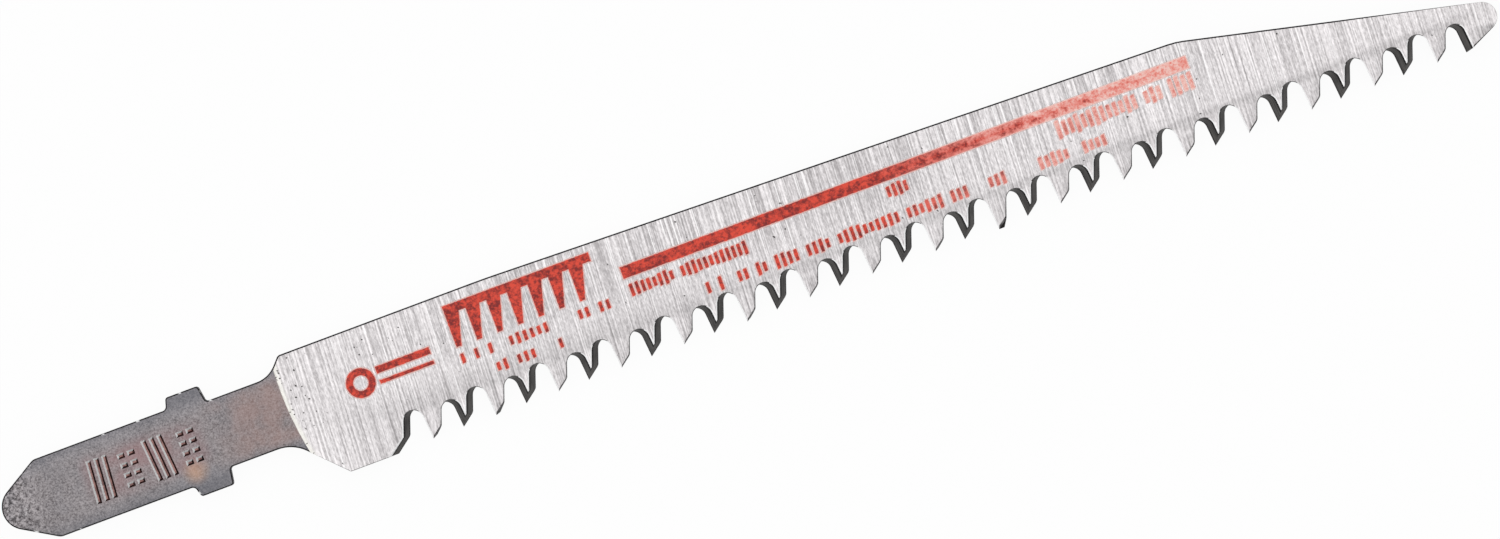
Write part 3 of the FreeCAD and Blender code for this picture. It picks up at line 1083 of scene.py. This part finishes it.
def ground_steel():
    """Light steel with the wheel's marks across it: pitted, and with painted shade along the back's first
    half, where the lamp's reflection is brightest.
    """
    plan = Finish("ground steel", 1.0)
    place = plan.place(MARK_LEAN)
    streak, scratch, groove = plan.effect("Grinding marks", place, Marks_per_mm=6.5, Length=14.0)
    x, y, z = plan.parts(plan.place())
    across = y - GRIND_CENTRE_Y
    from_shank = x - GRIND_START_X - across * across / (2 * GRIND_RUNOUT_RADIUS)
    near_shank = plan.fall(from_shank, 0.3, PITTED_REACH)
    share = 0.01 + near_shank * 0.26 + plan.near(x, y, PIT_CLUSTER, 0.2, 1.2) * 0.3
    pit = plan.effect("Pits", place, Spacing=0.24, Share=share, Size=0.35)[0]
    cloud, speckle = plan.effect("Mottle", plan.vector(x, y * 0.35, z), Coarse=5.0, Fine=0.13)
    # Painted shade: darker along the back's first half, where the lamp's reflection is brightest
    hot_spot_shade = 0.05 + plan.ramp(x, *HOT_SPOT_SHADE_FROM) * 0.09
    hot_spot_shade = hot_spot_shade * plan.fall(x, *HOT_SPOT_SHADE_TO) * plan.ramp(y, *HOT_SPOT_SHADE_ACROSS)
    tone = streak + (speckle - 0.5) * 1.2 + (cloud - 0.5) * 0.1 - hot_spot_shade
    plan.shade = plan.between(tone, -0.2, 1.2, (156, 152, 153), (254, 250, 251))
    bright = plan.ramp(scratch, 0.5, 1.0)
    dark = plan.fall(scratch, 0.0, 0.5)
    pale = plan.fall(from_shank, 0.1, 0.45)
    plan.lay(bright * 0.6, 255, 254, 254)
    plan.lay(dark * 0.35, 124, 121, 122)
    plan.lay(pale * 0.6, 238, 237, 228)
    plan.lay(pit * 0.85, 48, 44, 43)
    return plan.finish(0.38 + streak * 0.12 + pit * 0.2, groove - pit * 3, 0.003)


def cut_steel(name, dark, light):
    """Steel left by the tooth wheels, darkened with painted shade: marks along the cut, and painted shade
    blackening both of its rims.
    """
    plan = Finish(name, 1.0, CUT_SHEEN)
    x, y, z = plan.parts(plan.place())
    way = plan.vector(z, x + y, 0.0)
    streak, _, groove = plan.effect("Grinding marks", way, Marks_per_mm=7.0, Length=3.0)
    cloud = plan.effect("Mottle", plan.place(), Coarse=0.8, Fine=0.1)[0]
    plan.shade = plan.between(streak + (cloud - 0.5) * 0.8, 0.0, 1.0, dark, light)
    # Painted shade: a near-black band along both rims of the cut
    rim = plan.ramp(z, THICKNESS - 0.5, THICKNESS - 0.25) + plan.fall(z, 0.12, 0.36)
    plan.lay(rim * 0.9, 20, 18, 18)
    return plan.finish(0.4 + streak * 0.15, groove, 0.003)


def shank_steel():
    """Dull blanked steel: bluish at its edges, browner in the neck and about the stamped marks."""
    plan = Finish("shank steel", 0.9)
    place = plan.place()
    x, y, z = plan.parts(place)
    cloud, speckle = plan.effect("Mottle", place, Coarse=1.8, Fine=0.12)
    other, grit = plan.effect("Mottle", plan.place(60.0), Coarse=2.4, Fine=0.2)
    across = plan.maths("ABSOLUTE", y)
    near_tip = plan.fall(x, *ROUGH_TIP)
    grain = speckle * 0.9 + grit * (0.1 + near_tip * 2.0) - near_tip - 0.5
    plan.shade = plan.between(grain + (cloud - 0.5) * 0.15, -0.34, 0.34, (84, 79, 81), (190, 184, 186))
    blue = plan.ramp(across, 1.6, 3.2) + plan.ramp(other, 0.45, 0.65) * 0.4
    plan.lay(blue * 0.22, 122, 130, 142)
    plan.lay(plan.ramp(across, 2.4, 3.4) * 0.35, 92, 94, 102)
    brown = plan.ramp(x, *BROWN_NECK) * plan.fall(across, 1.8, 3.0) * plan.ramp(cloud, 0.2, 0.65)
    plan.lay(brown * 0.4, 172, 134, 124)
    stained = plan.ramp(x, *STAIN_FROM) * plan.fall(x, *STAIN_TO) * plan.fall(across, 0.9, 2.4)
    plan.lay(stained * plan.ramp(other, 0.2, 0.7) * 0.5, 172, 126, 126)
    heated = plan.near(x, y, HEAT_SPOT, 0.0, 1.3) * plan.ramp(cloud, 0.1, 0.6)
    plan.lay(heated * 0.5, 224, 174, 136)
    pit = plan.effect("Pits", place, Spacing=0.3, Share=0.01 + near_tip * 0.3, Size=0.34)[0]
    plan.lay(pit * 0.5, 52, 48, 48)
    glint = plan.effect("Pits", plan.place(30.0), Spacing=0.28, Share=near_tip * 0.2, Size=0.34)[0]
    plan.lay(glint * 0.55, 222, 220, 221)
    return plan.finish(0.5 + speckle * 0.15, speckle + grain - pit * 1.5, 0.008)


def edge_steel(name, dark, light, glint=0.0):
    """Steel of the blanked sides and rims, with the die's score marks up and down, and painted glints where
    a glint share is given.
    """
    plan = Finish(name, 1.0, CUT_SHEEN)
    place = plan.place()
    x, y, z = plan.parts(place)
    way = plan.vector(x + y, z, 0.0)
    streak, _, groove = plan.effect("Grinding marks", way, Marks_per_mm=6.0, Length=4.0)
    plan.shade = plan.between(streak, 0.1, 0.9, dark, light)
    # Painted glints: white specks along the shank's rims, as many as the glint share gives
    pit = plan.effect("Pits", place, Spacing=0.4, Share=glint, Size=0.5)[0]
    plan.lay(pit * plan.fall(x, 5.0, 7.0), 225, 225, 225)
    return plan.finish(0.35 + streak * 0.15, groove, 0.004)


def stamped_steel(name, dark, light):
    """Steel pressed down by the stamp, darker and rustier than the shank; in darker colours it also gives
    the stamp walls' painted shade.
    """
    plan = Finish(name, 0.9)
    cloud, speckle = plan.effect("Mottle", plan.place(), Coarse=0.6, Fine=0.14)
    plan.shade = plan.between(cloud * 0.5 + speckle * 0.5, 0.38, 0.62, dark, light)
    return plan.finish(0.5 + speckle * 0.1, speckle, 0.006)


def red_ink():
    """Printed ink: grainy red in the middle, a pink halo, and the stripe worn pale to the nose."""
    plan = Finish("red ink", 0.0)
    place = plan.place()
    x, y, z = plan.parts(place)
    cover = plan.field("ShaderNodeAttribute", output=2, attribute_name="cover")
    cloud, speckle = plan.effect("Mottle", place, Coarse=0.6, Fine=0.22)
    grain = speckle - 0.5
    blotch = cloud - 0.5
    worn = plan.ramp(x, *WEAR) * plan.ramp(y, -0.1, 0.2, 0.5, 1.0)
    wearing = worn * (1 - worn) * 4
    edge = plan.maths("MINIMUM", plan.maths("ABSOLUTE", y - WORN_LINE_Y), 0.5) * 1.2 - 0.15
    pale = worn + wearing * (edge + blotch * 1.8) + worn * grain * 1.6
    red = plan.between(grain + blotch * 0.8 + worn * 0.35, -0.22, 0.22, (126, 6, 2), (232, 70, 46))
    faded = plan.between(grain + blotch * 0.4, -0.25, 0.25, (242, 144, 130), (251, 210, 201))
    halo = plan.between(grain, -0.2, 0.2, (255, 196, 186), (255, 232, 226))
    inked = plan.ramp(cover * 1.25 + grain * 0.9 + blotch * 0.2, 0.5, 1.0)
    plan.shade = plan.mix(inked, halo, plan.mix(pale, red, faded))
    plan.plug(plan.ramp(cover + grain * 0.5, 0.0, 0.6), plan.shader.inputs["Alpha"])
    return plan.finish(0.45 + speckle * 0.2, speckle, 0.004)


# Setting

def white_floor():
    """A pale floor that shows as white and keeps the blade's shadow."""
    material = bpy.data.materials.new("white floor")
    material.use_nodes = True
    plan = Plan(material.node_tree)
    plan.tree.nodes.clear()
    path = plan.node("ShaderNodeLightPath")
    seen = Field(plan, path.outputs["Is Camera Ray"]) + Field(plan, path.outputs["Is Glossy Ray"])
    paint = plan.field("ShaderNodeBsdfDiffuse", {"Color": (FLOOR_PAINT,) * 3 + (1.0,)})
    white = plan.field("ShaderNodeEmission", {"Color": WHITE})
    both = plan.field("ShaderNodeMixShader", {0: seen * FLOOR_WHITE, 1: paint, 2: white})
    plan.plug(both, plan.node("ShaderNodeOutputMaterial").inputs["Surface"])
    build = bmesh.new()
    bmesh.ops.create_grid(build, x_segments=1, y_segments=1, size=FLOOR_SIZE * MM)
    bmesh.ops.translate(build, verts=build.verts, vec=Vector((*VIEW_CENTRE, -FLOOR_GAP)) * MM)
    mesh = finished_mesh("floor", build)
    mesh.materials.append(material)
    placed("floor", mesh)


def make_light():
    """A white room, brighter on the back's side than on the teeth's, and one wide soft lamp."""
    world = bpy.data.worlds.new("room")
    bpy.context.scene.world = world
    world.use_nodes = True
    plan = Plan(world.node_tree)
    x, y, z = plan.parts(plan.field("ShaderNodeTexCoord"))
    glow = plan.ramp(z * 0.85 + y * 0.5 - x * 0.2, *ROOM_TURN, ROOM_LOW, ROOM_HIGH)
    seen = plan.field("ShaderNodeLightPath")
    background = plan.tree.nodes["Background"]
    background.inputs["Color"].default_value = WHITE
    plan.plug(glow + seen * (1 - glow), background.inputs["Strength"])
    lamp = bpy.data.lights.new("lamp", "AREA")
    lamp.shape = "DISK"
    lamp.size = LAMP_SIZE * MM
    lamp.energy = LAMP_POWER
    thing = placed("lamp", lamp)
    thing.location = Vector(LAMP_PLACE) * MM
    aim = Vector((*VIEW_CENTRE, 0.0)) - Vector(LAMP_PLACE)
    thing.rotation_euler = aim.to_track_quat("-Z", "Y").to_euler()


def make_camera():
    data = bpy.data.cameras.new("camera")
    data.lens = LENS
    data.sensor_width = SENSOR
    data.clip_end = 10.0
    camera = placed("camera", data)
    height = THICKNESS + PHOTO_WIDTH / PIXELS_PER_MM * LENS / SENSOR
    camera.location = Vector((*VIEW_CENTRE, height)) * MM
    camera.rotation_euler = (0.0, 0.0, radians(VIEW_TURN))
    bpy.context.scene.camera = camera


def make_blade():
    finishes = [
        shank_steel(),
        edge_steel("blanked edge", (58, 58, 62), (112, 110, 112)),
        # The rolled rims: a near-black outline of painted shade, with painted glints on the shank
        edge_steel("rim", (16, 15, 16), (58, 56, 58), 0.14),
        ground_steel(),
        # The tooth wheels' faces: their dark colours are painted shade
        cut_steel("gullet steel", (62, 60, 60), (106, 104, 102)),
        cut_steel("facet steel", (56, 54, 54), (100, 97, 94)),
        # Painted highlight and painted shade: a near-white and a dark copy of the rim steel, chosen by the
        # way a break faces
        edge_steel("bright rim", (236, 235, 236), (252, 252, 252)),
        edge_steel("dark rim", (70, 68, 68), (130, 128, 128)),
        stamped_steel("stamped steel", (112, 84, 82), (170, 130, 124)),
        # Painted shade on the stamp walls that face away from the light
        stamped_steel("stamp shade", (16, 9, 11), (60, 32, 30)),
    ]
    blade = placed("blade", blank_mesh())
    for material in finishes:
        blade.data.materials.append(material)
    stamp = placed("stamp", stamp_mesh())
    tree = grinding_tree({material.name: material for material in finishes})
    blade.data = evaluated(blade, tree, {"Stamp": stamp})
    bpy.data.objects.remove(stamp)
    dress_edges(blade.data)
    return blade


def main():
    marks_group()
    pits_group()
    mottle_group()
    blade = make_blade()
    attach(blade, "root")
    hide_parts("blade")
    ink = red_ink()
    for piece in (red_stripe(ink), saw_band(ink), ring_and_bars(ink), tick_rows(ink)):
        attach(piece, "root")
    white_floor()
    make_light()
    make_camera()
    bpy.context.scene.view_settings.view_transform = "Standard"


main()
